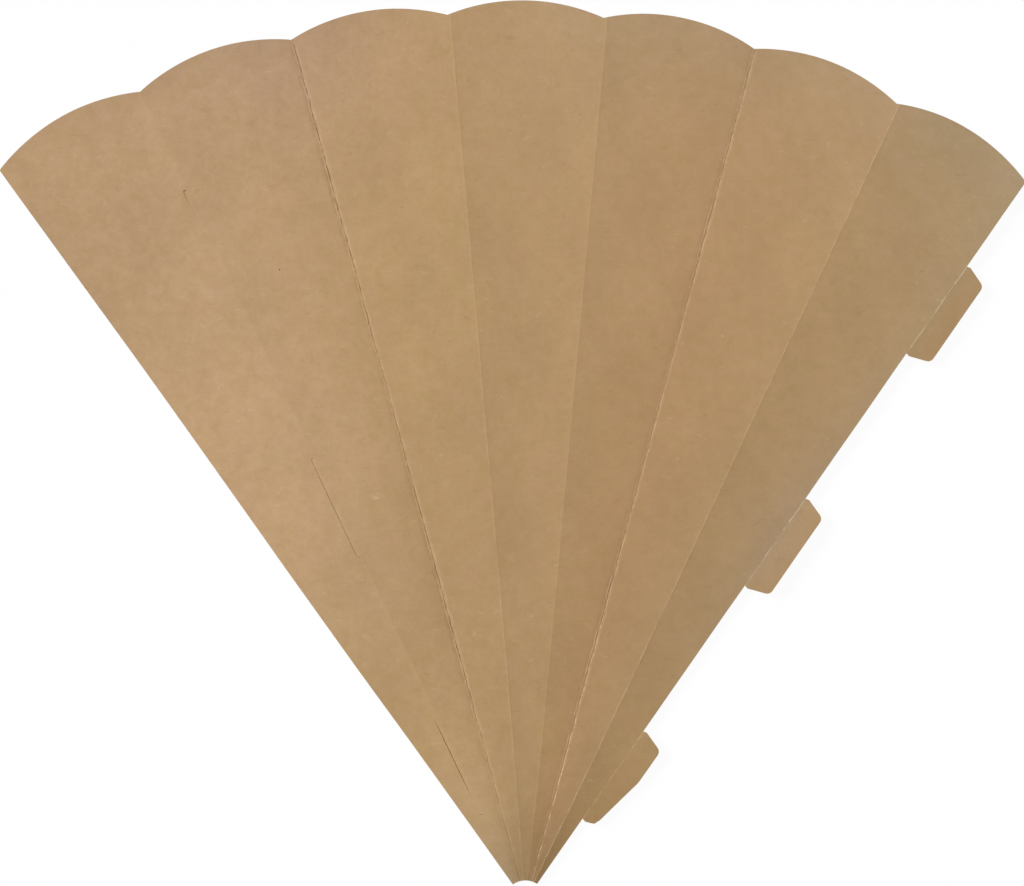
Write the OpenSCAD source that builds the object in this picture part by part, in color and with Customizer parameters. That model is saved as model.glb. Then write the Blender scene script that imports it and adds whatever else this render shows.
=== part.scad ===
// Blank of a six-sided school cone: one sheet of kraft card, die-cut and creased, not yet put together.
// Seven wedge panels fan out from one apex below the cut-off tip, and every fold runs through that apex.
// The blank lies on a surface: two panels lie flat on it, and the others zigzag over it in ridges
// and valleys. The first panel is the lap, which goes behind the last one when the cone is closed
// and the tabs are pushed into the slits beside the first fold.

/* [Panels] */
// Distance from the apex of the folds to the top of a scallop
panel_length = 696; // [480:1:900]
// Angle of a panel at the apex
panel_angle = 10; // [8:0.5:12]
// Radius of the scallop that ends a panel
scallop_radius = 151; // [90:1:300]
// Radius of the round cut at the tip, about the apex
tip_radius = 16.5; // [12:0.5:40]
// Thickness of the card
card_t = 0.5; // [0.35:0.05:0.9]

/* [Folds] */
// Height over the surface, at the rim, of the ridges on both sides of the middle panel
middle_lift = 3; // [1:0.5:20]
// Height over the surface, at the rim, of the ridge beside the tabbed panel
wing_lift = 2.5; // [1:0.5:20]
// Height of the bead that a crease raises on the upper face
bead_h = 0.2; // [0.1:0.05:0.3]
// Height of the bead on the two valleys that were folded shut for packing
packed_bead_h = 0.4; // [0.2:0.05:0.5]
// Depth of the split along the top of those two beads
split_depth = 0.2; // [0.1:0.05:0.3]

/* [Tabs] */
// Number of tabs on the right edge, and of slits beside the first fold
tab_count = 3; // [2:1:4]
// Length of a tab along its root
tab_length = 83; // [50:1:95]
// Depth of a tab from its root to its outer edge
tab_depth = 20; // [15:0.5:30]
// Distance that a tab's end draws in between its shoulder and its outer corner
tab_taper = 6; // [2:0.5:10]
// Depth of the shoulder where the tab is longest
shoulder_depth = 3; // [2:0.5:5]
// Distance that the shoulder stands out past the root
shoulder_flare = 0.7; // [0.2:0.1:1.5]
// Radius of a tab's outer corners
tab_corner = 5; // [2:0.5:7]
// Depth that is left at the lower end of the lowest tab
nose_depth = 11; // [8:0.5:14]
// Length of the slanting edge that leads to that end
nose_length = 48; // [25:1:50]
// Distance along the edge from the tip cut to the lowest tab
tip_to_tab = 62; // [40:1:90]
// Distance along the edge from the highest tab to the rim
tab_to_rim = 81; // [50:1:120]
// Angle by which the tabs are bent up at their roots
tab_bend = 2; // [0:0.5:20]

/* [Slits] */
// Distance of a slit from the first fold, towards the lap
slit_offset = 3; // [2:0.5:6]
// Width of the cut
slit_gap = 0.5; // [0.3:0.1:1]
// Distance that a slit runs past its tab at each end
slit_clearance = 0.8; // [0.3:0.1:2]
// Distance along the fold by which a hooked end slants out
hook_slant = 1.4; // [0:0.1:3]

/* [Hidden] */
$fn = 120;

// Heights of the left edge, the six folds and the right edge over the surface, at the rim
rim_lift = [0, 0, 0, middle_lift, middle_lift, 0, wing_lift, 0];
panel_count = len(rim_lift) - 1;
lap_fold = 1;
packed_folds = [2, 5];
half_angle = panel_angle / 2;

// Panels stop this far short of a fold line, and the crease bridges them
crease_inset = 0.2;
// A groove is this much wider on each side than the bead above it, and this much longer at each end
groove_margin = 0.06;
groove_overrun = 0.3;
// A tab's crease stops this far short of the tab's ends, where the die leaves a nick
root_nick = 0.6;
// Straight pieces in the arc of a rounded tab corner
corner_steps = 8;

scallop_centre = panel_length - scallop_radius;
valley_radius = scallop_centre * cos(half_angle)
    + sqrt(pow(scallop_radius, 2) - pow(scallop_centre * sin(half_angle), 2));

first_tab = tip_radius + tip_to_tab;
tab_pitch = (valley_radius - tab_to_rim - tab_length - first_tab) / (tab_count - 1);

// Slope of each fold line, and the angle in plan that keeps neighbours panel_angle apart in space
rise = [for (lift = rim_lift) asin(lift / valley_radius)];
function plan_step(k) = acos((cos(panel_angle) - sin(rise[k]) * sin(rise[k + 1]))
    / (cos(rise[k]) * cos(rise[k + 1])));
function plan_from_left(k) = k == 0 ? 0 : plan_from_left(k - 1) + plan_step(k - 1);
fan_angle = plan_from_left(panel_count);
function plan(k) = plan_from_left(k) - fan_angle / 2;

// Unit vector along fold k, and the frame of panel i: across, along its middle line, and out of its face
function unit(v) = v / norm(v);
function fold_dir(k) = [cos(rise[k]) * sin(plan(k)), cos(rise[k]) * cos(plan(k)), sin(rise[k])];
function across(i) = unit(fold_dir(i + 1) - fold_dir(i));
function along(i) = unit(fold_dir(i) + fold_dir(i + 1));
function face(i) = cross(across(i), along(i));

// Middle of the blank in plan, between the tip's corners and the top of the middle panel
middle_panel = (panel_count - 1) / 2;
tip_y = tip_radius * cos(fan_angle / 2);
top_y = panel_length * along(middle_panel).y;

function tab_start(i) = first_tab + i * tab_pitch;
function end_draw(depth) = (depth - shoulder_depth) * tab_taper / (tab_depth - shoulder_depth) - shoulder_flare;
// Half of a bead's width where it meets the upper face, which its section cuts as a chord
function bead_half(h) = sqrt(h * (h + card_t));
// Arc of radius r that rounds the corner b between the points a and c
function rounded(a, b, c, r) = let (
    u = unit(a - b),
    v = unit(c - b),
    half = acos(u * v) / 2,
    centre = b + unit(u + v) * r / sin(half),
    from = b + u * r / tan(half) - centre,
    to = b + v * r / tan(half) - centre,
    start = atan2(from.y, from.x),
    turn = (atan2(to.y, to.x) - start + 540) % 360 - 180
) [for (s = [0:corner_steps]) centre + r * [cos(start + turn * s / corner_steps),
    sin(start + turn * s / corner_steps)]];

module in_frame(x, y, z) {
    multmatrix([[x.x, y.x, z.x, 0], [x.y, y.y, z.y, 0], [x.z, y.z, z.z, 0], [0, 0, 0, 1]]) children();
}

// Flat outline of a panel about its middle line: a wedge with a scalloped top and the tip cut off.
// left and right are the distances by which the wedge stops short of its two fold lines.
module panel_outline(left, right) {
    near = tip_radius / 2;
    far = panel_length + tip_radius;
    function side(sign, inset, r) = [sign * (r * sin(half_angle) - inset * cos(half_angle)),
        r * cos(half_angle) + inset * sin(half_angle)];
    difference() {
        polygon([side(-1, left, near), side(-1, left, far), side(1, right, far), side(1, right, near)]);
        difference() {
            translate([-scallop_radius, scallop_centre]) square(2 * scallop_radius);
            translate([0, scallop_centre]) circle(scallop_radius);
        }
        circle(tip_radius);
    }
}

// Cut of one slit, with the first fold as the y axis: parallel to the fold, with both ends hooked to it
module slit(start) {
    low = start - slit_clearance;
    high = start + tab_length + slit_clearance;
    module bracket(depth, trim) {
        polygon([[0, low + trim], [-depth, low + trim + hook_slant],
            [-depth, high - trim - hook_slant], [0, high - trim]]);
    }
    difference() {
        bracket(slit_offset + slit_gap / 2, 0);
        bracket(slit_offset - slit_gap / 2, slit_gap);
    }
}

// The lap and its neighbour, one flat piece on the surface with the slits beside the fold between them
module flat_panels() {
    rotate(-plan(lap_fold)) linear_extrude(card_t) difference() {
        union() {
            rotate(half_angle) panel_outline(0, -crease_inset);
            rotate(-half_angle) panel_outline(-crease_inset, crease_inset);
        }
        for (i = [0:tab_count - 1]) slit(tab_start(i));
    }
}

// A panel that stands off the surface, seated between its two fold lines
module raised_panel(i) {
    is_last = i == panel_count - 1;
    in_frame(across(i), along(i), face(i))
        linear_extrude(card_t) panel_outline(crease_inset, is_last ? 0 : crease_inset);
}

// Outline of a tab: x out from the root, y up along the edge. The lowest tab is cut to a slanting nose.
module tab_outline(is_lowest) {
    low_depth = is_lowest ? nose_depth : tab_depth;
    low = [low_depth, end_draw(low_depth)];
    bend = [tab_depth, nose_length];
    high = [tab_depth, tab_length - end_draw(tab_depth)];
    low_shoulder = [shoulder_depth, -shoulder_flare];
    high_shoulder = [shoulder_depth, tab_length + shoulder_flare];
    polygon(concat(
        [[crease_inset, 0], low_shoulder],
        rounded(low_shoulder, low, is_lowest ? bend : high, tab_corner),
        is_lowest ? rounded(low, bend, high, 2 * tab_corner) : [],
        rounded(low, high, high_shoulder, tab_corner),
        [high_shoulder, [crease_inset, tab_length]]
    ));
}

// Places its children with y along the right edge and x out of it
module on_right_edge() {
    last = panel_count - 1;
    in_frame(across(last), along(last), face(last)) rotate(-half_angle) children();
}

module tabs() {
    on_right_edge() for (i = [0:tab_count - 1]) translate([0, tab_start(i)])
        rotate([0, -tab_bend, 0]) linear_extrude(card_t) tab_outline(i == 0);
}

// Places its children with z along fold k and y out of the card
module on_fold(k) {
    up = unit(face(k - 1) + face(k));
    in_frame(cross(up, fold_dir(k)), up, fold_dir(k)) children();
}

// Rod whose upper side is a crease's bead, from one distance along the crease to another
module bead(h, from, to) {
    translate([0, card_t / 2, from]) cylinder(r = card_t / 2 + h, h = to - from);
}

// Cut that follows the bead on the under face, so that the card keeps its thickness
module groove(h, from, to) {
    half = bead_half(h) + groove_margin;
    r = (half * half + h * h) / (2 * h);
    translate([0, h - r, from - groove_overrun]) cylinder(r = r, h = to - from + 2 * groove_overrun);
}

// Split along the top of a packed fold's bead
module split(h, from, to) {
    translate([0, card_t + h, from - groove_overrun]) cylinder(r = split_depth, h = to - from + 2 * groove_overrun);
}

// Stretches of the first fold that are creased: the slits interrupt it
lap_runs = [for (i = [0:tab_count]) [
    i == 0 ? tip_radius : tab_start(i - 1) + tab_length + slit_clearance,
    i == tab_count ? valley_radius : tab_start(i) - slit_clearance
]];
// Stretches of the right edge that are creased, at the roots of the tabs
tab_runs = [for (i = [0:tab_count - 1]) [
    tab_start(i) + root_nick,
    tab_start(i) + tab_length - root_nick
]];
plain_folds = [for (k = [lap_fold + 1:panel_count - 1]) if (len(search(k, packed_folds)) == 0) k];

module beads() {
    on_fold(lap_fold) for (run = lap_runs) bead(bead_h, run[0], run[1]);
    for (k = plain_folds) on_fold(k) bead(bead_h, tip_radius, valley_radius);
    for (k = packed_folds) on_fold(k) bead(packed_bead_h, tip_radius, valley_radius);
    on_right_edge() for (run = tab_runs) rotate([90, 0, 180]) bead(bead_h, run[0], run[1]);
}

module crease_cuts() {
    on_fold(lap_fold) for (run = lap_runs) groove(bead_h, run[0], run[1]);
    for (k = plain_folds) on_fold(k) groove(bead_h, tip_radius, valley_radius);
    for (k = packed_folds) on_fold(k) {
        groove(packed_bead_h, tip_radius, valley_radius);
        split(packed_bead_h, tip_radius, valley_radius);
    }
    on_right_edge() for (run = tab_runs) rotate([90, 0, 180]) groove(bead_h, run[0], run[1]);
}

module cone_blank() {
    color("#b2936c") translate([0, -(tip_y + top_y) / 2]) difference() {
        union() {
            flat_panels();
            for (i = [lap_fold + 1:panel_count - 1]) raised_panel(i);
            tabs();
            beads();
        }
        crease_cuts();
    }
}

cone_blank();
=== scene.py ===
"""Kraft card blank of a six-sided school cone, lying creased side up on a white studio table."""

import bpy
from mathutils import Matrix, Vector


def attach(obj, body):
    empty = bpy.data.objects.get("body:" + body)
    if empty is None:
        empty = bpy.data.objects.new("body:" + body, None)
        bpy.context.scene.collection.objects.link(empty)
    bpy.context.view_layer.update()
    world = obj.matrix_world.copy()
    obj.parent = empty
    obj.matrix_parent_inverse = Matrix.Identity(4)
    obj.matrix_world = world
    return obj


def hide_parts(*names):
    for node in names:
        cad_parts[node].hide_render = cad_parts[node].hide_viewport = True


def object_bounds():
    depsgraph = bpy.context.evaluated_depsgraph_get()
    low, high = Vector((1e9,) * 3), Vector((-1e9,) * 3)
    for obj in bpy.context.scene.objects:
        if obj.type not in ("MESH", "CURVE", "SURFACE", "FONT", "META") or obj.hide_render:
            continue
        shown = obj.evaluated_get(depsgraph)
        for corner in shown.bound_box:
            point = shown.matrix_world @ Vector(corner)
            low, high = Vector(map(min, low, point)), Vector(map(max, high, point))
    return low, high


bl_info = {
    "name": "School Cone Blank",
    "version": (1, 0, 0),
    "blender": (4, 5, 0),
    "location": "View3D > Sidebar > School Cone",
    "description": "Die-cut and creased kraft card blank of a school cone, with its studio table and light",
    "category": "Object",
}

from math import cos, pi, radians, sin

import bpy
import numpy as np
from bpy.props import FloatProperty, FloatVectorProperty, PointerProperty
from mathutils import Euler, Vector

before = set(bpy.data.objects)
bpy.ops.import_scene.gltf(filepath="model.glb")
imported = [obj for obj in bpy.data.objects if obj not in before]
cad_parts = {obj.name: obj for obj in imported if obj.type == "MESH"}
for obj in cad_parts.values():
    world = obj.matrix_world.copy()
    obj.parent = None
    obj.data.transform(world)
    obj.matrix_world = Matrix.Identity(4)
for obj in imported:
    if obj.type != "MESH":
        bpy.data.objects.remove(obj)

CAD_NODE = "cone_blank"
CAD_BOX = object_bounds()

MM = 0.001

# Folds are numbered from nil at the left edge to the roots of the tabs at the right edge
PANELS = 7
LAP_FOLD, SECOND_FOLD, WING_FOLD, TAB_ROOT = 1, 2, 6, PANELS


def linear(code):
    """Linear colour of an sRGB hex code such as #b2936c."""
    srgb = np.array([int(code[i:i + 2], 16) for i in (1, 3, 5)]) / 255
    return tuple(np.where(srgb <= 0.04045, srgb / 12.92, ((srgb + 0.055) / 1.055) ** 2.4).tolist())


def bell(value, width, middle=0):
    """Bell curve: e to the power of minus the square of the distance from a middle over a width."""
    return np.exp(-((value - middle) / width) ** 2)


def length(name, default, description):
    """A length property, with its default in millimetres."""
    return FloatProperty(name=name, default=default * MM, description=description, unit="LENGTH")


def lengths(name, defaults, description):
    """A list of lengths, with its defaults in millimetres."""
    return FloatVectorProperty(
        name=name, size=len(defaults), default=[d * MM for d in defaults], description=description,
        unit="LENGTH")


def angle(name, default, description):
    """An angle property, with its default in degrees."""
    return FloatProperty(name=name, default=radians(default), description=description, unit="ROTATION")


def angles(name, defaults, description):
    """A list of angles, with its defaults in degrees."""
    return FloatVectorProperty(
        name=name, size=len(defaults), default=[radians(d) for d in defaults], description=description,
        unit="ROTATION")


def shares(name, defaults, description):
    """A list of shares."""
    return FloatVectorProperty(name=name, size=len(defaults), default=defaults, description=description)


def colour(name, code, description):
    """A colour property, with its default as an sRGB hex code."""
    return FloatVectorProperty(
        name=name, default=linear(code), description=description, subtype="COLOR", min=0, max=1)


class CardSizes(bpy.types.PropertyGroup):
    """Die-cut outline of the blank, about the apex where all folds meet."""
    panel_length: length("Panel length", 696, "From the apex of the folds to the top of a scallop")
    panel_angle: angle("Panel angle", 10, "Angle of one panel at the apex")
    scallop_radius: length("Scallop radius", 151, "Radius of the scallop that ends a panel")
    tip_radius: length("Tip radius", 16.5, "Radius of the round cut at the tip")
    thickness: length("Thickness", 0.5, "Thickness of the card")


class FoldShape(bpy.types.PropertyGroup):
    """How the creased card stands off the table. The lists run from the left edge to the right edge."""
    rim_heights: lengths(
        "Rim heights", (1.3, 2.6, 2.8, 3.1, 2.5, -0.5, 1.2, 2.6),
        "Height at the rim of the left edge, the six folds and the right edge")
    cups: angles(
        "Cups", (0.7, -0.5, 0.5, 1.6, 0.4, 1.5, 1.6),
        "Slope that each panel gains from its middle line to either fold")
    hollows: lengths(
        "Hollows", (0, 0, 0.15, 0, 0, 0.16, 0, 0),
        "Depth of the slow hollow about each valley crease, which two folds have from being folded shut")
    grooves: lengths(
        "Grooves", (0, 0, 0.05, 0, 0, 0.05, 0, 0),
        "Depth of the sharp groove at the bottom of that hollow")
    beads: lengths(
        "Beads", (0, 0.025, 0, 0.032, 0.018, 0, 0.026, 0),
        "Height of the bead that each other crease raises")
    bead_widths: lengths("Bead widths", (1, 2, 1, 0.8, 0.8, 1, 0.8, 1), "Half width of that bead")
    crease_shifts: lengths(
        "Crease shifts", (0, 0.45, 0.9, 2.1, 2.9, 0.6, 2.6, -1),
        "Distance by which each pressed crease lies right of the line from apex to rim point")
    shift_start: length("Shift start", 90, "Distance from the apex over which that shift sets in")
    ridge_height: length("Ridge height", 0.2, "Height of the ridge along a part of the first fold")
    ridge_at: length("Ridge place", 215, "Distance of that ridge from the apex")
    ridge_length: length("Ridge length", 75, "Half length of that ridge")
    wave_height: length("Wave height", 3.2, "Height of the long wave in the lap panel's edge")
    wave_length: length("Wave length", 430, "Length of that wave along the edge")
    wave_crest: length("Wave crest", 262, "Distance of its crest from the apex")
    wave_start: length("Wave start", 150, "Distance from the apex over which that wave sets in")
    cockle: length("Cockle", 0.1, "Height of each of the shallow waves that damp leaves in card")


class TabSizes(bpy.types.PropertyGroup):
    """The three tabs on the right edge, from the tip to the rim."""
    tab_length: length("Length", 83, "Length of a tab along its root")
    depth: length("Depth", 20, "Depth of a tab from its root to its outer edge")
    taper: length("Taper", 6, "Distance that an end draws in from shoulder to outer corner")
    shoulder_depth: length("Shoulder depth", 3, "Depth at which the tab is longest")
    shoulder_flare: length("Shoulder flare", 0.7, "Distance that the shoulder stands out past the root")
    corner: length("Corner", 5, "Radius of the outer corners")
    nose_depth: length("Nose depth", 11, "Depth left at the lower end of the lowest tab")
    nose_length: length("Nose length", 48, "Length of the slanting edge that leads to that end")
    tip_to_tab: length("Tip to tab", 62, "Distance along the edge from the tip cut to the lowest tab")
    tab_to_rim: length("Tab to rim", 81, "Distance along the edge from the highest tab to the rim")
    bends: angles("Bends", (1.5, 3, -2), "Angle by which each tab is bent up at its root")


class SlitSizes(bpy.types.PropertyGroup):
    """The three hooked slits beside the first fold, from the tip to the rim."""
    offset: length("Offset", 2.9, "Distance of a slit from the first fold, towards the lap")
    gap: length("Gap", 0.24, "Width of the cut where it stands open")
    hook_gap: length("Hook gap", 0.4, "Width of its hooked ends where it stands open")
    closed_gap: length("Closed gap", 0.004, "Width of the cut where it has closed again")
    clearance: length("Clearance", 0.8, "Distance that a slit runs past its tab at each end")
    hook_slant: length("Hook slant", 1.4, "Distance along the fold by which a hooked end slants out")
    drop: length("Drop", 0.03, "Distance that the tongue beside an open slit has sunk below the lap")
    open_from: lengths(
        "Open from", (92, 275, 590), "Distance from the apex at which each slit begins to stand open")
    open_to: lengths("Open to", (165, 394, 630), "Distance from the apex at which each slit has closed again")
    widths: shares(
        "Widths", (1.4, 0.95, 1.3), "Width of each slit where it stands widest, as a share of the gap")
    low_hooks: shares("Low hooks", (0.6, 0.5, 0), "How far the lower hook of each slit stands open")
    high_hooks: shares("High hooks", (0, 0.5, 1), "How far the upper hook of each slit stands open")
    slips: lengths(
        "Slips", (-1.5, -1, 0.5), "Distance by which each slit lies further from the apex than its tab")


class CardColours(bpy.types.PropertyGroup):
    """Colours of the kraft card."""
    pulp_dark: colour("Dark pulp", "#9f7f52", "Denser patches of the pulp")
    pulp_light: colour("Light pulp", "#b8996e", "Thinner patches of the pulp")
    blush: colour("Blush", "#b58f72", "Patches that are a little pinker")
    fibre_light: colour("Light fibre", "#cbb08a", "Bleached fibres")
    fibre_dark: colour("Dark fibre", "#8a6c48", "Bark specks and dark fibres")
    bark: colour("Bark", "#2e1f12", "Single speck of bark")
    # Bare fibres along the creases, which also serve as painted highlight on the side of a crease that faces
    # the light
    crack_and_highlight: colour("Crack", "#e0c49c", "Fibres laid bare along the creases")
    # Painted shade at the bottom of the creases that were folded shut, and beside them
    crease_painted_shade: colour("Crease shade", "#7b5735", "Bottom of the creases that were folded shut")
    cut_edge: colour("Cut edge", "#a98a63", "Cut edge of the card")


class StageSettings(bpy.types.PropertyGroup):
    """Table, light and camera."""
    camera_at: lengths("Camera", (-85.12, 38.83, 1097.35), "Place of the camera")
    camera_turn: angles(
        "Camera turn", (-1.863, -3.912, 0.0235), "Turn of the camera from looking straight down")
    lens: FloatProperty(name="Lens", default=50, description="Focal length in millimetres on a 36 mm sensor")
    key_azimuth: angle("Key azimuth", 155, "Direction of the key light, turned from +X towards +Y")
    key_elevation: angle("Key elevation", 22.6, "Height of the key light over the horizon")
    key_spread: angle("Key spread", 14, "Angle under which the key light is seen from the blank")
    key_share: FloatProperty(
        name="Key share", default=0.75, description="Share of the light that the key gives")
    floor_size: length("Floor size", 12000, "Side of the table top")
    floor_paint: colour("Floor paint", "#f4f4f4", "Table top")
    # Painted shade: brown paint on the table top under the card, standing in for the shade there
    floor_shade: colour("Floor shade", "#7a5c3c", "Table top where it lies in the brown shade under the card")
    floor_glow: FloatProperty(
        name="Floor glow", default=0.96, description="How far the table is lifted to pure white for the camera")


class ConeSettings(bpy.types.PropertyGroup):
    """All settings of the blank and its stage."""
    card: PointerProperty(type=CardSizes)
    folds: PointerProperty(type=FoldShape)
    tabs: PointerProperty(type=TabSizes)
    slits: PointerProperty(type=SlitSizes)
    colours: PointerProperty(type=CardColours)
    stage: PointerProperty(type=StageSettings)


def valley_radius(card):
    """Distance from the apex to the point between two scallops, where the scallop's circle meets the fold."""
    return scallop_reach(card, card.panel_angle / 2)


def scallop_reach(card, turn):
    """Distance from the apex to a scallop's circle, along a ray turned away from the panel's middle line."""
    centre = card.panel_length - card.scallop_radius
    return centre * np.cos(turn) + np.sqrt(card.scallop_radius ** 2 - (centre * np.sin(turn)) ** 2)


def apex_y(card):
    """Place on the Y axis of the apex, which lies below the round cut at the tip."""
    return CAD_BOX[0].y - card.tip_radius * cos(PANELS * card.panel_angle / 2)


def tab_starts(card, tabs):
    """Distances from the apex to the lower end of each tab, spread evenly from the lowest to the highest."""
    first = card.tip_radius + tabs.tip_to_tab
    last = valley_radius(card) - tabs.tab_to_rim - tabs.tab_length
    return np.linspace(first, last, len(tabs.bends))


def slit_ends(card, tabs, slits):
    """Distances from the apex to the lower and upper end of each slit, as two arrays."""
    starts = tab_starts(card, tabs) + np.array(slits.slips)
    return starts - slits.clearance, starts + tabs.tab_length + slits.clearance


# Grid of the sheet: columns on either side of a fold, fine and then wider, and rows along the folds
FINE_COLUMN, FINE_COLUMNS = 0.45 * MM, 8
COLUMN_GROWTH, WIDE_COLUMN, WIDE_COLUMNS = 1.6, 6.5 * MM, 12
ROW_STEP, RIM_ROUNDS = 5.4 * MM, 6

# Where a panel is narrow, its columns keep to shares of it: the powers by which these grow and are blended in
SHARE_POWER, BLEND_POWER = 1.5, 6
FAR, TINY = 1000.0, 1e-12

# Slits: how far a hook draws the rows with it along and across the fold, and the length over which a cut opens
HOOK_REACH, HOOK_FADE = 6 * MM, 10 * MM
OPENING_LENGTH = 18 * MM


def quads(index):
    """Quads between neighbouring rows and columns of a grid of vertex numbers, counter-clockwise from above."""
    return np.stack([index[:-1, :-1], index[:-1, 1:], index[1:, 1:], index[1:, :-1]], axis=-1)


class SheetGrid:
    """Flat blank as a grid of rows and columns: each point's radius and angle, the fold it follows and its
    distances from that fold and from the crease pressed beside it."""

    def __init__(self, cone):
        card, slits = cone.card, cone.slits
        self.half = card.panel_angle / 2
        edges = [slits.offset - slits.gap / 2, slits.offset + slits.gap / 2]
        wide = np.minimum(FINE_COLUMN * COLUMN_GROWTH ** np.arange(1, WIDE_COLUMNS + 1), WIDE_COLUMN)
        steps = np.append(np.full(FINE_COLUMNS, FINE_COLUMN), wide)
        reach = np.sort(np.concatenate([[0], np.cumsum(steps), edges]))
        share = 1 - (1 - np.arange(len(reach)) / len(reach)) ** SHARE_POWER
        right, left = np.ones(len(reach) + 1), -np.ones(len(reach) - 1)
        side = np.concatenate([right, left])
        self.reach = np.append(np.tile(np.concatenate([reach, [FAR], reach[:0:-1]]), PANELS), 0)
        self.share = np.append(np.tile(np.concatenate([share, [1], share[:0:-1]]), PANELS), 0)
        self.side = np.append(np.tile(side, PANELS), -1)
        self.fold = np.append(np.repeat(np.arange(PANELS), len(side)) + np.tile(side < 0, PANELS), PANELS)
        self.radius = self.radii(cone)
        self.index = np.arange(self.radius.size).reshape(self.radius.shape)
        self.offset = self.side * self.distance(self.radius)
        on_cut = (self.fold == LAP_FOLD) & (self.side < 0) & np.isin(self.reach, edges)
        shut = slits.closed_gap / slits.gap
        width = shut + (1 - shut) * self.openness(cone, self.rows)
        self.offset += on_cut * (1 - width[:, None]) * (self.reach - slits.offset)
        self.psi = self.fold_angle(self.fold) + np.arcsin(self.offset / self.radius)
        self.set_in = 1 - np.exp(-self.radius / cone.folds.shift_start)
        self.across = self.offset - np.array(cone.folds.crease_shifts)[self.fold] * self.set_in

    def fold_angle(self, fold):
        """Angle of a fold from the middle line of the blank."""
        return (2 * fold - PANELS) * self.half

    def creased_angle(self, cone):
        """Angle at which each point's height is read, so that the kinks lie at the creases pressed beside the
        even folds."""
        shifts = np.array(cone.folds.crease_shifts)
        shifts[[0, -1]] = 0
        panel = self.psi / (2 * self.half) + PANELS / 2
        return self.psi - np.interp(panel, np.arange(PANELS + 1), shifts) * self.set_in / self.radius

    def distance(self, radius):
        """Distance of each column from its fold: the smaller of a fixed reach and a share of the half panel,
        smoothly blended as their product over a norm of high power."""
        limit = self.share * radius * sin(self.half)
        norm = (self.reach ** BLEND_POWER + limit ** BLEND_POWER) ** (1 / BLEND_POWER)
        return self.reach * limit / (norm + TINY)

    def openness(self, cone, along):
        """How far the slits stand open along the first fold: each slit's width between its two given ends."""
        slits = cone.slits
        share = np.zeros_like(along)
        for first, last, width in zip(slits.open_from, slits.open_to, slits.widths):
            rise, fall = (np.clip(way / OPENING_LENGTH, 0, 1) for way in (along - first, last - along))
            share = np.maximum(share, width * (rise * fall))
        return share

    def radii(self, cone):
        """Radius of each point: from the tip arc to the scallop, in rows that also pass the ends of tabs and
        slits. A column's distance from its fold and its end on the scallop depend on each other and are found
        in turns. Beside the first fold the rows slant where a slit's hook does."""
        card, slits = cone.card, cone.slits
        top = np.full(len(self.reach), valley_radius(card))
        for _ in range(RIM_ROUNDS):
            top = scallop_reach(card, self.half - np.arcsin(self.distance(top) / top))
        low, high = slit_ends(card, cone.tabs, slits)
        ends = np.concatenate([low, high])
        starts = tab_starts(card, cone.tabs)
        hooks = np.concatenate([slits.low_hooks, slits.high_hooks])
        width = slits.closed_gap + (slits.hook_gap - slits.closed_gap) * hooks
        cuts = np.concatenate([ends - width / 2, ends + width / 2, starts, starts + cone.tabs.tab_length])
        even = np.linspace(card.tip_radius, valley_radius(card), round(valley_radius(card) / ROW_STEP))
        even = even[np.abs(even[:, None] - cuts).min(axis=1) > ROW_STEP / 2]
        self.rows = np.sort(np.append(even, cuts))
        along = (self.rows - card.tip_radius) / (valley_radius(card) - card.tip_radius)
        radius = card.tip_radius + (top - card.tip_radius) * along[:, None]
        beside = self.distance(radius) * ((self.fold == LAP_FOLD) & (self.side < 0))
        lean = np.minimum(beside / slits.offset, 1) * np.exp(-np.maximum(beside - slits.offset, 0) / HOOK_FADE)
        for end, way in zip(ends, np.repeat([1, -1], len(low))):
            radius = radius + way * slits.hook_slant * lean * bell(radius, HOOK_REACH, end)
        return radius

    def slit_faces(self, cone):
        """True for quads that the slits cut away: a line beside the first fold, and two hooks back to it."""
        slits = cone.slits
        low, high = slit_ends(cone.card, cone.tabs, slits)
        middle = (self.rows[:-1, None] + self.rows[1:, None]) / 2
        beside = (self.fold[1:] == LAP_FOLD) & (self.side[1:] < 0)
        near = (self.reach[:-1] + self.reach[1:]) / 2
        line = beside & (np.abs(near - slits.offset) < slits.gap / 2)
        hook = beside & (near < slits.offset + slits.gap / 2)
        within = ((middle > low - slits.hook_gap / 2) & (middle < high + slits.hook_gap / 2)).any(axis=1)
        at_end = (np.abs(middle - np.append(low, high)) < slits.closed_gap / 4).any(axis=1)
        return (within[:, None] & line) | (at_end[:, None] & hook)


# Rays at which the plan of the fan is summed, a thousand steps to a panel
FAN_STEPS = 1000 * PANELS + 1


def fan_direction(cone, psi, creased):
    """Unit vectors from the apex along the rays at the flat angle psi, with their height read at the angle
    creased. Each panel's elevation runs from crease to crease and sags by its cup, and the angle in plan is
    summed along the fan so that neighbouring rays keep their flat angle: the card bends but doesn't stretch."""
    half = cone.card.panel_angle / 2
    rise = np.arcsin(np.array(cone.folds.rim_heights) / valley_radius(cone.card))

    def elevation(turn):
        along = np.clip(turn / (2 * half) + PANELS / 2, 0, PANELS)
        panel = np.minimum(along.astype(int), PANELS - 1)
        part = along - panel
        sag = np.array(cone.folds.cups)[panel] * half / 2 * (1 - (2 * part - 1) ** 2)
        return rise[panel] * (1 - part) + rise[panel + 1] * part - sag

    turns = np.linspace(-PANELS * half, PANELS * half, FAN_STEPS)
    heights = elevation(turns)
    rate = np.sqrt(1 - np.gradient(heights, turns) ** 2) / np.cos(heights)
    plan = np.concatenate([[0], np.cumsum((rate[1:] + rate[:-1]) / 2 * np.diff(turns))])
    plan = np.interp(psi, turns, plan - plan[-1] / 2)
    lift = elevation(creased)
    return np.stack([np.cos(lift) * np.sin(plan), np.cos(lift) * np.cos(plan), np.sin(lift)], axis=-1)


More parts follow.
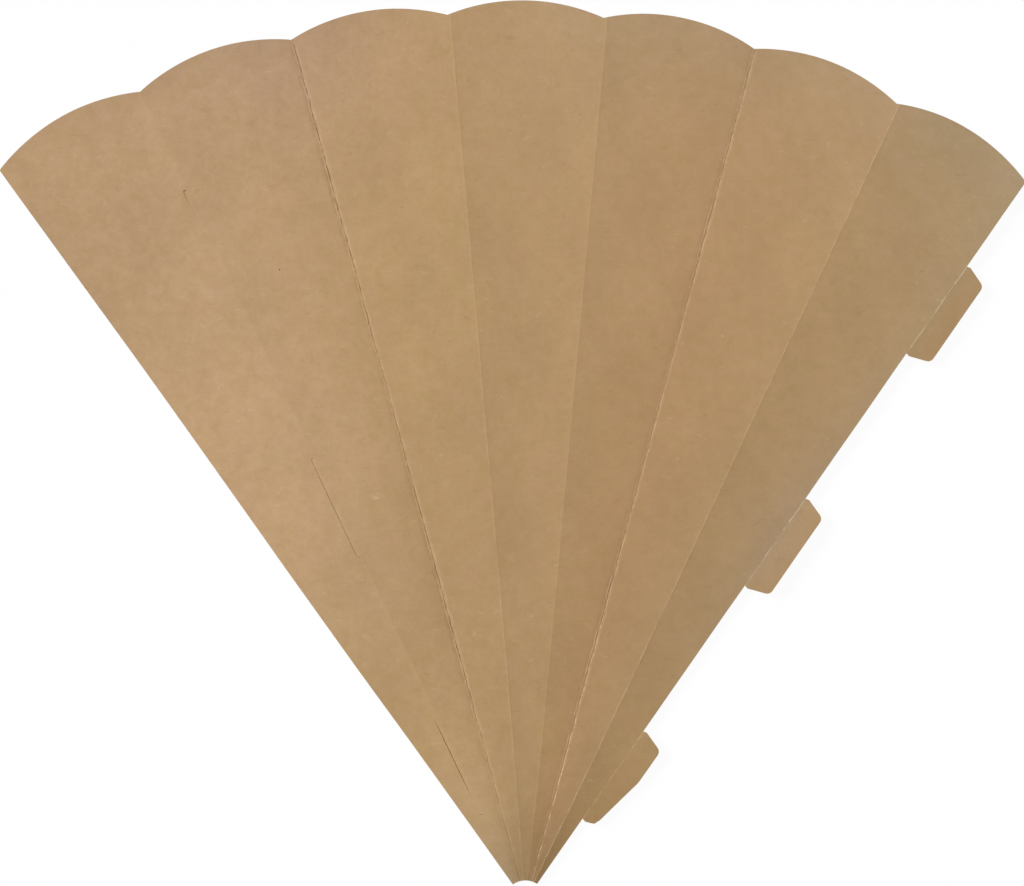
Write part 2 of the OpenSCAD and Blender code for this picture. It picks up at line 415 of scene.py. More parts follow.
def off_middle(grid):
    """1 at the folds, falling to nil midway between two folds."""
    return 1 - np.minimum(np.abs(grid.offset) / (grid.radius * sin(grid.half)), 1) ** 2


# Relief of the creases: its reach on either side of a fold and from the tip, and the share, length and phase of
# the waves in which groove and bead swell along the fold
GROOVE_REACH, RIDGE_REACH = 1 * MM, 15 * MM
HOLLOW_LEFT, HOLLOW_RIGHT = 9 * MM, 20 * MM
RELIEF_START = 90 * MM
SWELLS = ((0.3, 11 * MM, 2.1), (0.25, 4.3 * MM, 1.3))


def crease_relief(cone, grid):
    """Height of the creases: a valley is a slow hollow, longer on its right, with a sharp groove, a bead is a
    bell, and a part of the first fold is a low ridge. Groove and bead swell and shrink along the fold in a sum
    of sines, and all fades to the tip and is nil midway between two folds."""
    folds = cone.folds
    s = grid.across
    hollow, groove, bead, width = (
        np.array(size)[grid.fold] for size in (folds.hollows, folds.grooves, folds.beads, folds.bead_widths))
    swell = 1 + sum(share * np.sin(grid.radius / wave + phase * grid.fold) for share, wave, phase in SWELLS)
    relief = swell * (bead * bell(s, width) - groove * np.exp(-np.abs(s) / GROOVE_REACH))
    relief = relief - hollow * np.exp(-np.abs(s) / np.where(s < 0, HOLLOW_LEFT, HOLLOW_RIGHT))
    ridge = folds.ridge_height * bell(grid.radius, folds.ridge_length, folds.ridge_at)
    relief = relief + ridge * np.exp(-np.abs(s) / RIDGE_REACH) * (grid.fold == LAP_FOLD)
    return relief * off_middle(grid) * (1 - bell(grid.radius, RELIEF_START))


def lap_wave(cone, grid):
    """Height of the long wave in the lap: a cosine along the edge that fades to the second fold and the tip."""
    folds = cone.folds
    fade = np.clip((grid.fold_angle(SECOND_FOLD) - grid.psi) / (2 * SECOND_FOLD * grid.half), 0, 1)
    fade = fade * (1 - bell(grid.radius, folds.wave_start))
    return folds.wave_height * fade * np.cos(2 * pi * (grid.radius - folds.wave_crest) / folds.wave_length)


# Shallow waves in the card: length in millimetres, direction from +X in degrees, and phase of each
COCKLES = ((62, 20, 0.4), (75, 75, 2.9), (88, 140, 5.1), (104, 105, 1.7), (121, 50, 3.8), (150, 165, 0.9))


def cockled(cone, x, y):
    """Height of the shallow waves that damp leaves in card: a sum of sines of six lengths and directions."""
    height = np.zeros_like(x)
    for wave, turn, phase in COCKLES:
        along = x * cos(radians(turn)) + y * sin(radians(turn))
        height += cone.folds.cockle * np.sin(2 * pi * along / (wave * MM) + phase)
    return height


def tongue_drop(cone, grid):
    """Height lost by the tongues between open slits and the first fold: most at the slit, nil at the fold."""
    slits, rows = cone.slits, grid.rows
    low, high = slit_ends(cone.card, cone.tabs, slits)
    tongue = (grid.fold == LAP_FOLD) & (grid.side < 0) & (grid.reach < slits.offset)
    beside = ((rows[:, None] > low) & (rows[:, None] < high)).any(axis=1)
    sunk = slits.drop * grid.openness(cone, rows) * beside
    return sunk[:, None] * tongue * np.abs(grid.offset) / slits.offset


def sheet_points(cone, grid):
    """Points of the sheet: each ray's direction times its radius, with the small relief added to its height."""
    points = grid.radius[..., None] * fan_direction(cone, grid.psi, grid.creased_angle(cone))
    flat = grid.radius * np.sin(grid.psi), grid.radius * np.cos(grid.psi)
    points[..., 2] += crease_relief(cone, grid) + lap_wave(cone, grid) + cockled(cone, *flat)
    points[..., 2] -= tongue_drop(cone, grid)
    return points


def rounded(before, corner, after, radius, steps=10):
    """Points of the arc that rounds a corner between two straight edges."""
    before, corner, after = (np.array(p, float) for p in (before, corner, after))
    u, v = ((p - corner) / np.linalg.norm(p - corner) for p in (before, after))
    half = np.arccos(u @ v) / 2
    centre = corner + (u + v) / np.linalg.norm(u + v) * radius / np.sin(half)
    start, end = (corner + w * radius / np.tan(half) - centre for w in (u, v))
    from_angle, to_angle = (np.arctan2(p[1], p[0]) for p in (start, end))
    turn = (to_angle - from_angle + pi) % (2 * pi) - pi
    turns = from_angle + turn * np.linspace(0, 1, steps + 1)
    return centre + radius * np.stack([np.cos(turns), np.sin(turns)], axis=-1)


TAB_COLUMNS = 16


def tab_outline(tabs, lowest):
    """Depths out from the root, and the lower and upper ends of the tab at each depth.
    Both ends flare to a shoulder and draw in to a rounded corner, and the lowest tab's lower end is a slanting
    nose."""
    slope = tabs.taper / (tabs.depth - tabs.shoulder_depth)

    def drawn_in(depth):
        return (depth - tabs.shoulder_depth) * slope - tabs.shoulder_flare

    shoulder = (tabs.shoulder_depth, -tabs.shoulder_flare)
    high = (tabs.depth, tabs.tab_length - drawn_in(tabs.depth))
    high_shoulder = (tabs.shoulder_depth, tabs.tab_length + tabs.shoulder_flare)
    low = (tabs.depth, drawn_in(tabs.depth))
    nose = (tabs.nose_depth, drawn_in(tabs.nose_depth))
    bend = (tabs.depth, tabs.nose_length)
    if lowest:
        lower = [rounded(shoulder, nose, bend, tabs.corner), rounded(nose, bend, high, 2 * tabs.corner)]
    else:
        lower = [rounded(shoulder, low, high, tabs.corner)]
    lower = np.concatenate([[(0, 0), shoulder], *lower])
    upper = rounded(low, high, high_shoulder, tabs.corner)[::-1]
    upper = np.concatenate([[(0, tabs.tab_length), high_shoulder], upper])
    depths = tabs.depth * (1 - np.cos(pi * np.arange(TAB_COLUMNS + 1) / TAB_COLUMNS)) / 2
    depths = np.sort(np.append(depths, [tabs.shoulder_depth]))
    return depths, np.interp(depths, *lower.T), np.interp(depths, *upper.T)


def tab_points(cone, grid, number, root):
    """Points of one tab without its root column, and their depths.
    A point is its distance along the right edge plus its depth along the edge's outward direction,
    which goes on at the last panel's slope and is turned up by the tab's bend."""
    depths, lower, upper = tab_outline(cone.tabs, number == 0)
    start = tab_starts(cone.card, cone.tabs)[number]
    part = (grid.rows[root] - start) / cone.tabs.tab_length
    along = start + lower + (upper - lower) * part[:, None]
    last = PANELS * grid.half
    edge = fan_direction(cone, np.array(last), np.array(last))
    level = np.array([edge[1], -edge[0], 0]) / np.hypot(edge[0], edge[1])
    heights = np.array(cone.folds.rim_heights)
    width = valley_radius(cone.card) * 2 * grid.half
    slope = (heights[-1] - heights[-2]) / width + cone.folds.cups[-1] + cone.tabs.bends[number]
    outward = level * np.cos(slope) + np.cross(level, edge) * np.sin(slope)
    points = along[..., None] * edge + depths[:, None] * outward
    flat = along * sin(last) + depths * cos(last), along * cos(last) - depths * sin(last)
    points[..., 2] += cockled(cone, *flat)
    return points[:, 1:], depths[1:]


# How strongly fibres are laid bare with painted highlight, and how dark the painted shade at the bottom is,
# along each fold from left edge to tab roots
BARE_AND_HIGHLIGHT = (0, 0.03, 0.6, 0.2, 0.13, 1.0, 0.45, 0.8)
SHADE = (0, 0, 1.1, 0, 0, 0.65, 0, 0)
# On a bead all marks are shifted to its left flank, which faces the light, so that the painted highlight lies
# there
CREASE_REACH, LIT_BEAD_FLANK = 8 * MM, 1.4 * MM
TIP_REACH, TIP_WEAR_REACH, RIM_WEAR_REACH = 150 * MM, 260 * MM, 55 * MM

# Bare fibres and their painted highlight: share all along a fold, gained at the tip and at the last fold's rim,
# and lost at the tip of the second fold
WEAR, TIP_WEAR, RIM_WEAR, TIP_LOSS = 0.5, 0.8, 0.6, 0.7

# Painted shade: share gained at the rim and at the tip, and the long wave in which it comes and goes
RIM_DARK, TIP_DARK = 0.6, -0.3
SHADE_SWING, SHADE_CREST, SHADE_WAVE = 0.25, 560 * MM, 330 * MM


def crease_marks(cone, grid, roots):
    """For each point, its offset from its crease and the strength of the bare fibres with their painted
    highlight and of the painted shade there. The strengths fade with distance from the fold and are nil midway
    between two folds. The bare fibres and their highlight grow towards the tip, on the last fold towards the
    rim too, and lie on the left flank of a bead, which faces the light. The painted shade comes and goes in a
    long wave, and the right edge has marks at the tab roots only."""
    near = bell(grid.offset, CREASE_REACH) * off_middle(grid)
    rim = np.exp((grid.radius - cone.card.panel_length) / RIM_WEAR_REACH)
    tip = bell(grid.radius, TIP_REACH)
    worn_and_lit = WEAR + TIP_WEAR * bell(grid.radius, TIP_WEAR_REACH) + RIM_WEAR * rim * (grid.fold == WING_FOLD)
    worn_and_lit = worn_and_lit * (1 - TIP_LOSS * tip * (grid.fold == SECOND_FOLD))
    at_root = np.isin(np.arange(len(grid.rows)), np.concatenate(roots))
    bare = np.array(BARE_AND_HIGHLIGHT)[grid.fold] * near * np.where(grid.fold == TAB_ROOT, at_root[:, None], worn_and_lit)
    shade = np.array(SHADE)[grid.fold] * near * (1 + RIM_DARK * rim + TIP_DARK * tip)
    wave = np.cos(2 * pi * (grid.radius - SHADE_CREST) / SHADE_WAVE)
    shade = shade * (1 - SHADE_SWING + SHADE_SWING * wave)
    offset = grid.across + LIT_BEAD_FLANK * (np.array(cone.folds.beads) > 0)[grid.fold]
    return np.stack([offset, bare, shade], axis=-1)


# Painted light and shade on the card's tone, as powers of e: along +X and +Y for each metre, per panel from
# left to right, on the lap, the greying at the tip and there on the last panel, and painted shade at the rim on
# the left
PAINTED_LIGHT_X, PAINTED_LIGHT_Y, PAINTED_LIGHT_PANEL, LAP_LIGHT = 0.175, 0.21, -0.05, 0.013
TIP_GREY, TIP_GREY_REACH, LAST_GREY, LAST_GREY_REACH = -0.25, 60 * MM, -0.19, 80 * MM
RIM_SHADE, RIM_SHADE_REACH = -0.09, 25 * MM

# Cast of the card by place, as powers of e in red and in blue: mostly cooler at the edges, and warmer at the
# fifth fold
CASTS = {
    "sheet": (0, -0.021),
    "lap": (-0.014, 0),
    "cool_lap": (0, 0.112),
    "rim": (-0.042, 0.146),
    "last_rim": (-0.055, 0),
    "patch": (0, 0.2),
    "edge": (-0.045, 0.107),
    "low": (0, -0.05),
    "tabs": (-0.03, 0.1),
    "warm_fold": (0.05, 0),
    "tip": (0.055, 0),
}

# Ramps of these places: in panels from the left edge, and slopes along the right edge and over the last panel
LAP_END, LAP_RAMP, LEFT_END, RIGHT_START = 2.2, 1.2, 3.2, 2.8
EDGE_RAMP, LAST_RAMP = 4, 4

# Bells of these places: width and middle in panels or from the apex, and reaches from rim, edge and tip.
# The low cast is stronger on the last panel
LAST_LOW = 2
PATCH_PANELS, LOW_PANELS, TAB_PANELS, WARM_PANELS = (0.75, 2.05), (0.6, 4.5), (0.4, 7.1), (0.75, 4.95)
WARM_LAP, TAB_SPAN = (85 * MM, 175 * MM), (80 * MM, 340 * MM)
RIM_REACH, PATCH_REACH, EDGE_REACH, TAB_REACH, TIP_CAST_REACH = 70 * MM, 100 * MM, 25 * MM, 5 * MM, 95 * MM


def painted_light_and_cast(cone, radius, psi):
    """Painted light and cast of each point, by which the card's colour is multiplied: e to the power of a sum
    of slow terms. Its painted light changes over the sheet and by panel, it greys at the tip, it has painted
    shade at the rim on the left, and it is a little cooler or warmer by panel and near the edges."""
    card = cone.card
    half = card.panel_angle / 2
    panel = psi / (2 * half) + PANELS / 2
    lap = np.clip((LAP_END - panel) / LAP_RAMP, 0, 1)
    left, right = np.clip(LEFT_END - panel, 0, 1), np.clip(panel - RIGHT_START, 0, 1)
    last = np.clip((panel - WING_FOLD) * LAST_RAMP, 0, 1)
    past_rim = radius - card.panel_length
    rim = np.exp(past_rim / RIM_REACH)
    inward = radius * np.sin(PANELS * half - psi)
    edge = np.exp(-np.abs(inward) / np.where(inward < 0, TAB_REACH, EDGE_REACH))
    x, y = radius * np.sin(psi), radius * np.cos(psi) - card.panel_length / 2
    # Painted light: lighter or darker by place and by panel as the light falls, and a little lighter on the
    # lap; then the greying at the tip and the painted shade at the rim on the left
    light = PAINTED_LIGHT_X * x + PAINTED_LIGHT_Y * y + PAINTED_LIGHT_PANEL * (panel - PANELS / 2) + LAP_LIGHT * lap
    light = light + TIP_GREY * bell(radius, TIP_GREY_REACH) + LAST_GREY * last * bell(radius, LAST_GREY_REACH)
    light = light + RIM_SHADE * left * np.exp(past_rim / RIM_SHADE_REACH)
    low = bell(radius, TIP_WEAR_REACH) * bell(panel, *LOW_PANELS) + LAST_LOW * last * bell(radius, TIP_REACH)
    places = {
        "sheet": 1,
        "lap": lap,
        "cool_lap": lap * (1 - bell(radius, *WARM_LAP)),
        "rim": rim * right,
        "last_rim": rim * last,
        "patch": bell(panel, *PATCH_PANELS) * bell(past_rim, PATCH_REACH),
        "edge": edge * np.clip(radius / card.panel_length * EDGE_RAMP - 1, 0, 1),
        "low": low,
        "tabs": bell(panel, *TAB_PANELS) * bell(radius, *TAB_SPAN),
        "warm_fold": bell(panel, *WARM_PANELS) * (1 - rim),
        "tip": bell(radius, TIP_CAST_REACH) * (2 * panel / PANELS - 1),
    }
    red, blue = (sum(CASTS[name][channel] * place for name, place in places.items()) for channel in (0, 1))
    return np.exp(np.stack([light + red, light, light + blue], axis=-1))


def shell(top, faces, thickness):
    """Closed shell under a sheet: the sheet, its copy one thickness lower, and a wall along every open edge.
    An edge is open where no face runs along it the other way. Returns points, faces and how many are walls."""
    count = len(top)
    ends = np.roll(faces, -1, axis=1)
    code = faces.astype(np.int64) * count + ends
    back = ends.astype(np.int64) * count + faces
    is_open = ~np.isin(code, back)
    a, b = faces[is_open], ends[is_open]
    walls = np.stack([a, a + count, b + count, b], axis=-1)
    points = np.concatenate([top, top - [0, 0, thickness]])
    return points, np.concatenate([faces, faces[:, ::-1] + count, walls]), len(walls)


SHARP_ANGLE = radians(30)


def blank_mesh(cone):
    """Mesh of the blank: the creased, slit sheet and its tabs, as one closed shell that rests on the table."""
    card = cone.card
    grid = SheetGrid(cone)
    starts = tab_starts(card, cone.tabs)
    slack = 0.01 * MM
    roots = [np.flatnonzero((grid.rows > s - slack) & (grid.rows < s + cone.tabs.tab_length + slack))
             for s in starts]
    points = [sheet_points(cone, grid).reshape(-1, 3)]
    marks = [crease_marks(cone, grid, roots).reshape(-1, 3)]
    light_and_cast_tints = [painted_light_and_cast(cone, grid.radius, grid.psi).reshape(-1, 3)]
    faces = [quads(grid.index)[~grid.slit_faces(cone)]]
    edge = grid.index[:, -1]
    made = grid.radius.size
    for number, root in enumerate(roots):
        tab, depths = tab_points(cone, grid, number, root)
        x, y = tab[..., 0], tab[..., 1]
        index = made + np.arange(x.size).reshape(x.shape)
        index = np.concatenate([edge[root][:, None], index], axis=1)
        near = bell(depths, CREASE_REACH)
        offset = depths - cone.folds.crease_shifts[TAB_ROOT]
        mark = np.stack([offset, BARE_AND_HIGHLIGHT[TAB_ROOT] * near, SHADE[TAB_ROOT] * near], axis=-1)
        points.append(tab.reshape(-1, 3))
        marks.append(np.tile(mark, (len(root), 1)))
        light_and_cast_tints.append(painted_light_and_cast(cone, np.hypot(x, y), np.arctan2(x, y)).reshape(-1, 3))
        faces.append(quads(index).reshape(-1, 4))
        made += x.size
    top = np.concatenate(points)
    top[:, 2] += card.thickness - top[:, 2].min()
    top[:, 1] += apex_y(card)
    points, faces, walls = shell(top, np.concatenate(faces), card.thickness)
    mesh = bpy.data.meshes.new("kraft_blank")
    mesh.from_pydata(points.tolist(), [], faces.tolist())
    is_wall = np.arange(len(faces)) >= len(faces) - walls
    mesh.polygons.foreach_set("material_index", is_wall.astype(np.int32))
    mesh.polygons.foreach_set("use_smooth", np.ones(len(faces), bool))
    mesh.set_sharp_from_angle(angle=SHARP_ANGLE)
    for name, values in (("crease", marks), ("light_and_cast_tint", light_and_cast_tints)):
        layer = mesh.attributes.new(name, "FLOAT_VECTOR", "POINT")
        layer.data.foreach_set("vector", np.tile(np.concatenate(values), (2, 1)).astype(np.float32).ravel())
    mesh.update()
    return mesh


def add_node(tree, kind, inputs=None, **settings):
    """Adds a shader node with its settings, and fills its inputs with values or with other nodes' outputs."""
    made = tree.nodes.new("ShaderNode" + kind)
    for name, value in settings.items():
        setattr(made, name, value)
    for name, value in (inputs or {}).items():
        if isinstance(value, bpy.types.NodeSocket):
            tree.links.new(value, made.inputs[name])
        else:
            made.inputs[name].default_value = value
    return made.outputs


def new_material(name):
    """An empty node material and its tree."""
    material = bpy.data.materials.new(name)
    material.use_nodes = True
    material.node_tree.nodes.clear()
    return material, material.node_tree


def opaque(rgb):
    """A colour with full alpha."""
    return (*rgb, 1.0)


WHITE = opaque(linear("#ffffff"))

# Place of the speck of bark, and how the noise of the fibres is stretched along X and squeezed along Y
SPECK_AT, IN_PLAN = (-187.3 * MM, 135.2 * MM, 0), (1, 1, 0)
GRAIN_STRETCH = (0.6, 1.3, 1)


def kraft_card(colours):
    """Uncoated kraft card, rolled smooth: matt, faintly mottled by its pulp, with a few light and dark fibres,
    with paler fibres laid bare along the creases and painted highlight and painted shade there, and with
    painted light and shade over the sheet."""
    material, tree = new_material("kraft_card")
    place = add_node(tree, "TexCoord")["Object"]

    pulp = add_node(tree, "TexNoise", {
        "Vector": place, "Scale": 1 / (10 * MM), "Detail": 4.0, "Roughness": 0.8})["Fac"]

    # The mottle is stronger on the left half of the sheet
    pulp_off = add_node(tree, "Math", {0: pulp, 1: 0.5}, operation="SUBTRACT")["Value"]
    side = add_node(tree, "SeparateXYZ", {0: place})["X"]
    mottle = add_node(tree, "MapRange", {
        "Value": side, "From Min": -250 * MM, "From Max": 100 * MM, "To Min": 1.25, "To Max": 0.85})["Result"]
    mottle = add_node(tree, "Math", {0: pulp_off, 1: mottle, 2: 0.5}, operation="MULTIPLY_ADD")["Value"]
    tone = add_node(tree, "Mix", {
        0: mottle, 6: opaque(colours.pulp_dark), 7: opaque(colours.pulp_light)}, data_type="RGBA")[2]

    for size, most in ((160 * MM, 0.08), (12 * MM, 0.26)):
        patch = add_node(tree, "TexNoise", {"Vector": place, "Scale": 1 / size, "Detail": 3.0})["Fac"]
        patch = add_node(tree, "MapRange", {
            "Value": patch, "From Min": 0.3, "From Max": 0.7, "To Max": most})["Result"]
        tone = add_node(tree, "Mix", {0: patch, 6: tone, 7: opaque(colours.blush)}, data_type="RGBA")[2]

    # Fibres are thin level lines of a noise, and a second noise breaks them into pieces a few millimetres long
    grain = add_node(tree, "VectorMath", {0: place, 1: GRAIN_STRETCH}, operation="MULTIPLY")["Vector"]
    strand = add_node(tree, "TexNoise", {
        "Vector": grain, "Scale": 1 / (7 * MM), "Distortion": 0.8})["Fac"]
    strand = add_node(tree, "Math", {0: strand, 1: 0.5}, operation="SUBTRACT")["Value"]
    strand = add_node(tree, "Math", {0: strand}, operation="ABSOLUTE")["Value"]
    strand = add_node(tree, "MapRange", {
        "Value": strand, "From Max": 0.016, "To Min": 1.0, "To Max": 0.0})["Result"]
    broken = add_node(tree, "TexNoise", {"Vector": grain, "Scale": 1 / (8 * MM), "Detail": 1.0})["Fac"]
    for none, full, most, paint in (
            (0.59, 0.73, 0.4, colours.fibre_light),
            (0.4, 0.29, 0.42, colours.fibre_dark)):
        fibre = add_node(tree, "MapRange", {
            "Value": broken, "From Min": none, "From Max": full, "To Max": most})["Result"]
        fibre = add_node(tree, "Math", {0: strand, 1: fibre}, operation="MULTIPLY")["Value"]
        tone = add_node(tree, "Mix", {0: fibre, 6: tone, 7: opaque(paint)}, data_type="RGBA")[2]

    # One larger speck of bark in the second panel
    speck = add_node(tree, "VectorMath", {0: place, 1: IN_PLAN}, operation="MULTIPLY")["Vector"]
    speck = add_node(tree, "VectorMath", {0: speck, 1: SPECK_AT}, operation="DISTANCE")["Value"]
    speck = add_node(tree, "MapRange", {
        "Value": speck, "From Min": 0.3 * MM, "From Max": 0.75 * MM, "To Min": 0.95, "To Max": 0.0})["Result"]
    tone = add_node(tree, "Mix", {0: speck, 6: tone, 7: opaque(colours.bark)}, data_type="RGBA")[2]

    # Creases: a line of painted shade with a soft painted shade left of it, a line of bare fibres with painted
    # highlight right of it and, where a crease has both, two more such lines, one on either side
    crease = add_node(tree, "Attribute", attribute_name="crease")["Vector"]
    crease = add_node(tree, "SeparateXYZ", {0: crease})
    wander = add_node(tree, "TexNoise", {
        "Vector": place, "Scale": 1 / (14 * MM), "Detail": 4.0, "Roughness": 0.8})["Fac"]
    wander = add_node(tree, "MapRange", {
        "Value": wander, "To Min": -1.3 * MM, "To Max": 1.3 * MM})["Result"]
    across = add_node(tree, "Math", {0: crease["X"], 1: wander}, operation="ADD")["Value"]
    frayed = add_node(tree, "Math", {0: crease["Y"], 1: crease["Z"]}, operation="MULTIPLY")["Value"]
    for turn, (offset, width, most, strength, paint) in enumerate((
            (-2.2 * MM, 2.6 * MM, 0.26, crease["Z"], colours.crease_painted_shade),
            (0.0, 0.65 * MM, 1.0, crease["Z"], colours.crease_painted_shade),
            (1.0 * MM, 0.62 * MM, 0.95, crease["Y"], colours.crack_and_highlight),
            (2.1 * MM, 0.5 * MM, 0.8, frayed, colours.crack_and_highlight),
            (-1.0 * MM, 0.5 * MM, 1.3, frayed, colours.crack_and_highlight))):
        torn = add_node(tree, "TexNoise", {
            "Vector": place, "W": float(turn), "Scale": 1 / (7 * MM), "Detail": 4.0, "Roughness": 0.7},
            noise_dimensions="4D")["Fac"]
        torn = add_node(tree, "MapRange", {"Value": torn, "From Min": 0.4, "From Max": 0.58})["Result"]
        line = add_node(tree, "Math", {0: across, 1: offset}, operation="SUBTRACT")["Value"]
        line = add_node(tree, "Math", {0: line}, operation="ABSOLUTE")["Value"]
        line = add_node(tree, "MapRange", {
            "Value": line, "From Max": width, "To Min": most, "To Max": 0.0})["Result"]
        line = add_node(tree, "Math", {0: line, 1: strength}, operation="MULTIPLY")["Value"]
        line = add_node(tree, "Math", {0: line, 1: torn}, operation="MULTIPLY")["Value"]
        tone = add_node(tree, "Mix", {0: line, 6: tone, 7: opaque(paint)}, data_type="RGBA")[2]

    # Painted light and shade over the sheet, together with the casts, multiply the colour
    light_and_cast_tint = add_node(tree, "Attribute", attribute_name="light_and_cast_tint")["Vector"]
    tone = add_node(tree, "VectorMath", {0: tone, 1: light_and_cast_tint}, operation="MULTIPLY")["Vector"]

    # The tooth of the card is finer than this, and is drawn as coarse as it needs to show
    tooth = add_node(tree, "TexNoise", {"Vector": place, "Scale": 1 / (1.2 * MM), "Detail": 3.0})["Fac"]
    bump = add_node(tree, "Bump", {"Height": tooth, "Strength": 0.17, "Distance": 0.02 * MM})["Normal"]
    gloss = add_node(tree, "MapRange", {"Value": pulp, "To Min": 0.9, "To Max": 0.75})["Result"]
    surface = add_node(tree, "BsdfPrincipled", {
        "Base Color": tone, "Roughness": gloss, "Normal": bump, "IOR": 1.5, "Specular IOR Level": 0.3})["BSDF"]
    add_node(tree, "OutputMaterial", {"Surface": surface})
    return material


def cut_card(colours):
    """Die-cut edge of kraft card: the plies show as a rougher, slightly darker line, and are drawn coarser than
    they are so that they show."""
    material, tree = new_material("cut_card_edge")
    place = add_node(tree, "TexCoord")["Object"]
    ply = add_node(tree, "TexNoise", {"Vector": place, "Scale": 1 / (0.8 * MM), "Detail": 3.0})["Fac"]
    tone = add_node(tree, "Mix", {
        0: ply, 6: opaque(colours.pulp_dark), 7: opaque(colours.cut_edge)}, data_type="RGBA")[2]
    bump = add_node(tree, "Bump", {"Height": ply, "Strength": 0.4, "Distance": 0.05 * MM})["Normal"]
    surface = add_node(tree, "BsdfPrincipled", {
        "Base Color": tone, "Roughness": 0.9, "Normal": bump, "IOR": 1.5, "Specular IOR Level": 0.2})["BSDF"]
    add_node(tree, "OutputMaterial", {"Surface": surface})
    return material


def seen_directly(tree):
    """1 for rays that show the background: straight from the camera, mirrored or through glass."""
    path = add_node(tree, "LightPath")
    seen = add_node(tree, "Math", {
        0: path["Is Camera Ray"], 1: path["Is Glossy Ray"]}, operation="MAXIMUM")["Value"]
    return add_node(tree, "Math", {0: seen, 1: path["Is Transmission Ray"]}, operation="MAXIMUM")["Value"]


# Part of the table that is sure to lie under the card: half its width over its distance from the apex, and the
# distances at which it begins and ends
UNDER_SLOPE, UNDER_FROM, UNDER_TO = 0.6, 40 * MM, 570 * MM


def white_table(cone):
    """Matt white table top: pale enough to vanish into a white background, and under the card unlifted and
    painted brown as painted shade.
    """
    stage = cone.stage
    material, tree = new_material("white_table")

    # No lift under the card, and a brown painted shade there, so that what shows through its slits is dark
    # brown
    place = add_node(tree, "TexCoord")["Object"]
    place = add_node(tree, "VectorMath", {0: place, 1: (0, -apex_y(cone.card), 0)}, operation="ADD")["Vector"]
    place = add_node(tree, "SeparateXYZ", {0: place})
    aside = add_node(tree, "Math", {0: place["X"]}, operation="ABSOLUTE")["Value"]
    slope = add_node(tree, "Math", {0: aside, 1: place["Y"]}, operation="DIVIDE")["Value"]
    outside = 0.0
    for value, test, limit in (
            (slope, "GREATER_THAN", UNDER_SLOPE),
            (place["Y"], "GREATER_THAN", UNDER_TO),
            (place["Y"], "LESS_THAN", UNDER_FROM)):
        past = add_node(tree, "Math", {0: value, 1: limit}, operation=test)["Value"]
        outside = add_node(tree, "Math", {0: outside, 1: past}, operation="MAXIMUM")["Value"]
    paint = add_node(tree, "Mix", {
        0: outside, 6: opaque(stage.floor_shade), 7: opaque(stage.floor_paint)}, data_type="RGBA")[2]
    glow = add_node(tree, "Math", {0: seen_directly(tree), 1: stage.floor_glow}, operation="MULTIPLY")["Value"]
    glow = add_node(tree, "Math", {0: glow, 1: outside}, operation="MULTIPLY")["Value"]
    matt = add_node(tree, "BsdfDiffuse", {"Color": paint})["BSDF"]
    lifted = add_node(tree, "Emission", {"Color": WHITE})["Emission"]
    surface = add_node(tree, "MixShader", {0: glow, 1: matt, 2: lifted})["Shader"]
    add_node(tree, "OutputMaterial", {"Surface": surface})
    return material


def place_table(cone):
    """Square table top just under the blank."""
    half = cone.stage.floor_size / 2
    under = -0.05 * MM
    mesh = bpy.data.meshes.new("table_top")
    mesh.from_pydata([(-half, -half, under), (half, -half, under), (half, half, under), (-half, half, under)],
                     [], [(0, 1, 2, 3)])
    mesh.materials.append(white_table(cone))
    table = bpy.data.objects.new("table_top", mesh)
    bpy.context.scene.collection.objects.link(table)


def place_key_light(stage):
    """Far soft light. Its power gives the blank its share of the light at which a colour renders as written."""
    azimuth, elevation = stage.key_azimuth, stage.key_elevation
    toward = Vector((cos(azimuth) * cos(elevation), sin(azimuth) * cos(elevation), sin(elevation)))
    lamp = bpy.data.lights.new("key_light", "SUN")
    lamp.angle = stage.key_spread
    lamp.energy = stage.key_share * pi / sin(elevation)
    light = bpy.data.objects.new("key_light", lamp)
    light.rotation_euler = toward.to_track_quat("Z", "Y").to_euler()
    bpy.context.scene.collection.objects.link(light)


def place_fill_light(stage):
    """Even light from all round for what the key leaves, and white where the background is seen."""
    world = bpy.data.worlds.new("studio")
    world.use_nodes = True
    tree = world.node_tree
    tree.nodes.clear()
    level = add_node(tree, "MapRange", {
        "Value": seen_directly(tree), "To Min": 1 - stage.key_share, "To Max": 1.0})["Result"]
    sky = add_node(tree, "Background", {"Color": WHITE, "Strength": level})["Background"]
    add_node(tree, "OutputWorld", {"Surface": sky})
    bpy.context.scene.world = world


SENSOR_WIDTH = 36


def place_camera(stage):
    """Camera over the blank, looking down at it."""
    lens = bpy.data.cameras.new("camera")
    lens.lens = stage.lens
    lens.sensor_width = SENSOR_WIDTH
    camera = bpy.data.objects.new("camera", lens)
    camera.location = stage.camera_at
    camera.rotation_euler = Euler(stage.camera_turn)
    bpy.context.scene.collection.objects.link(camera)
    bpy.context.scene.camera = camera


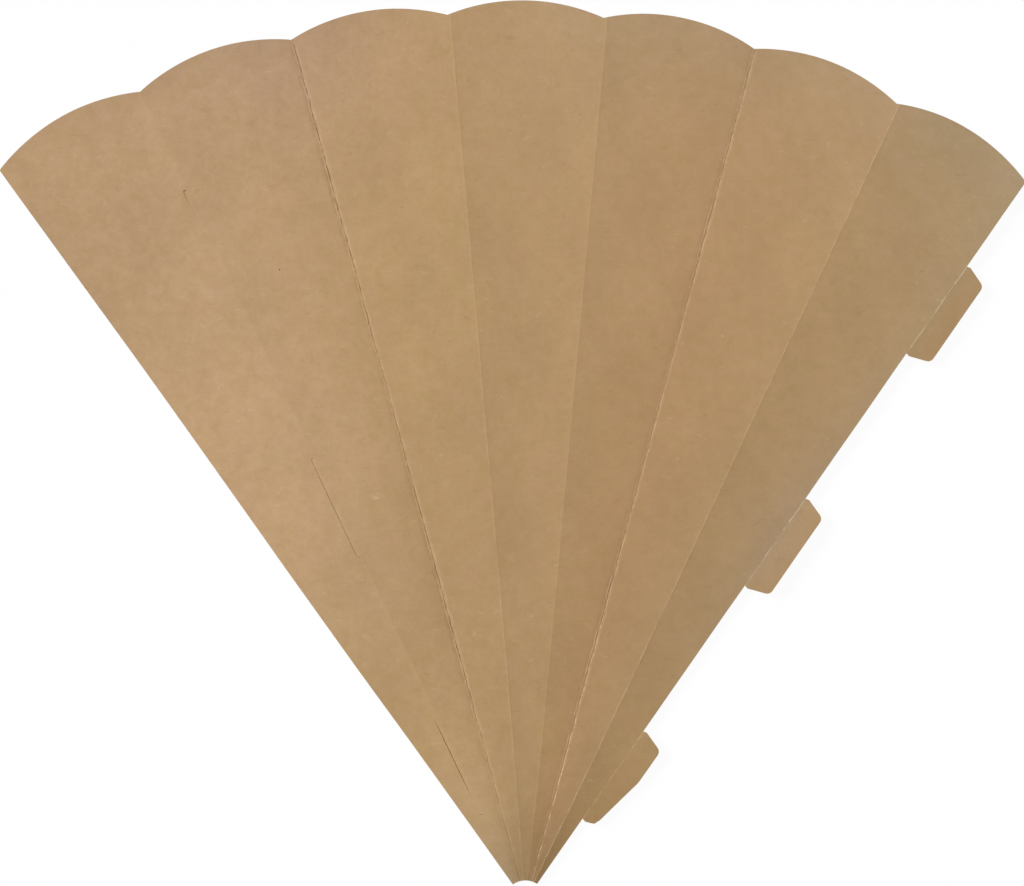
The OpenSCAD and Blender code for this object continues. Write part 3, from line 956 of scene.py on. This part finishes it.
class SCHOOLCONE_OT_card_blank(bpy.types.Operator):
    """Makes the creased card blank and puts it in the place of its solid"""
    bl_idname = "school_cone.card_blank"
    bl_label = "Card Blank"

    def execute(self, context):
        cone = context.scene.school_cone
        mesh = blank_mesh(cone)
        mesh.materials.append(kraft_card(cone.colours))
        mesh.materials.append(cut_card(cone.colours))
        blank = bpy.data.objects.new("kraft_blank", mesh)
        context.scene.collection.objects.link(blank)
        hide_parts(CAD_NODE)
        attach(blank, "root")
        return {"FINISHED"}


class SCHOOLCONE_OT_stage(bpy.types.Operator):
    """Makes the white table, the light and the camera"""
    bl_idname = "school_cone.stage"
    bl_label = "Studio Stage"

    def execute(self, context):
        cone = context.scene.school_cone
        place_table(cone)
        place_key_light(cone.stage)
        place_fill_light(cone.stage)
        place_camera(cone.stage)
        context.scene.view_settings.view_transform = "Standard"
        return {"FINISHED"}


class SCHOOLCONE_PT_blank(bpy.types.Panel):
    """Lists the steps that make the blank and its stage"""
    bl_idname = "SCHOOLCONE_PT_blank"
    bl_label = "School Cone Blank"
    bl_space_type = "VIEW_3D"
    bl_region_type = "UI"
    bl_category = "School Cone"

    def draw(self, context):
        for operator in OPERATORS:
            self.layout.operator(operator.bl_idname)
        for group in ("card", "folds", "tabs", "slits", "colours", "stage"):
            settings = getattr(context.scene.school_cone, group)
            box = self.layout.box()
            for name in type(settings).__annotations__:
                box.prop(settings, name)


GROUPS = (CardSizes, FoldShape, TabSizes, SlitSizes, CardColours, StageSettings, ConeSettings)
OPERATORS = (SCHOOLCONE_OT_card_blank, SCHOOLCONE_OT_stage)
CLASSES = (*GROUPS, *OPERATORS, SCHOOLCONE_PT_blank)


def register():
    """Registers the classes and gives the scene its settings."""
    for one in CLASSES:
        bpy.utils.register_class(one)
    bpy.types.Scene.school_cone = PointerProperty(type=ConeSettings)


def unregister():
    """Takes the settings and the classes away again."""
    del bpy.types.Scene.school_cone
    for one in reversed(CLASSES):
        bpy.utils.unregister_class(one)


def main():
    """Makes the blank and its stage."""
    register()
    bpy.ops.school_cone.card_blank()
    bpy.ops.school_cone.stage()


if __name__ == "__main__":
    main()
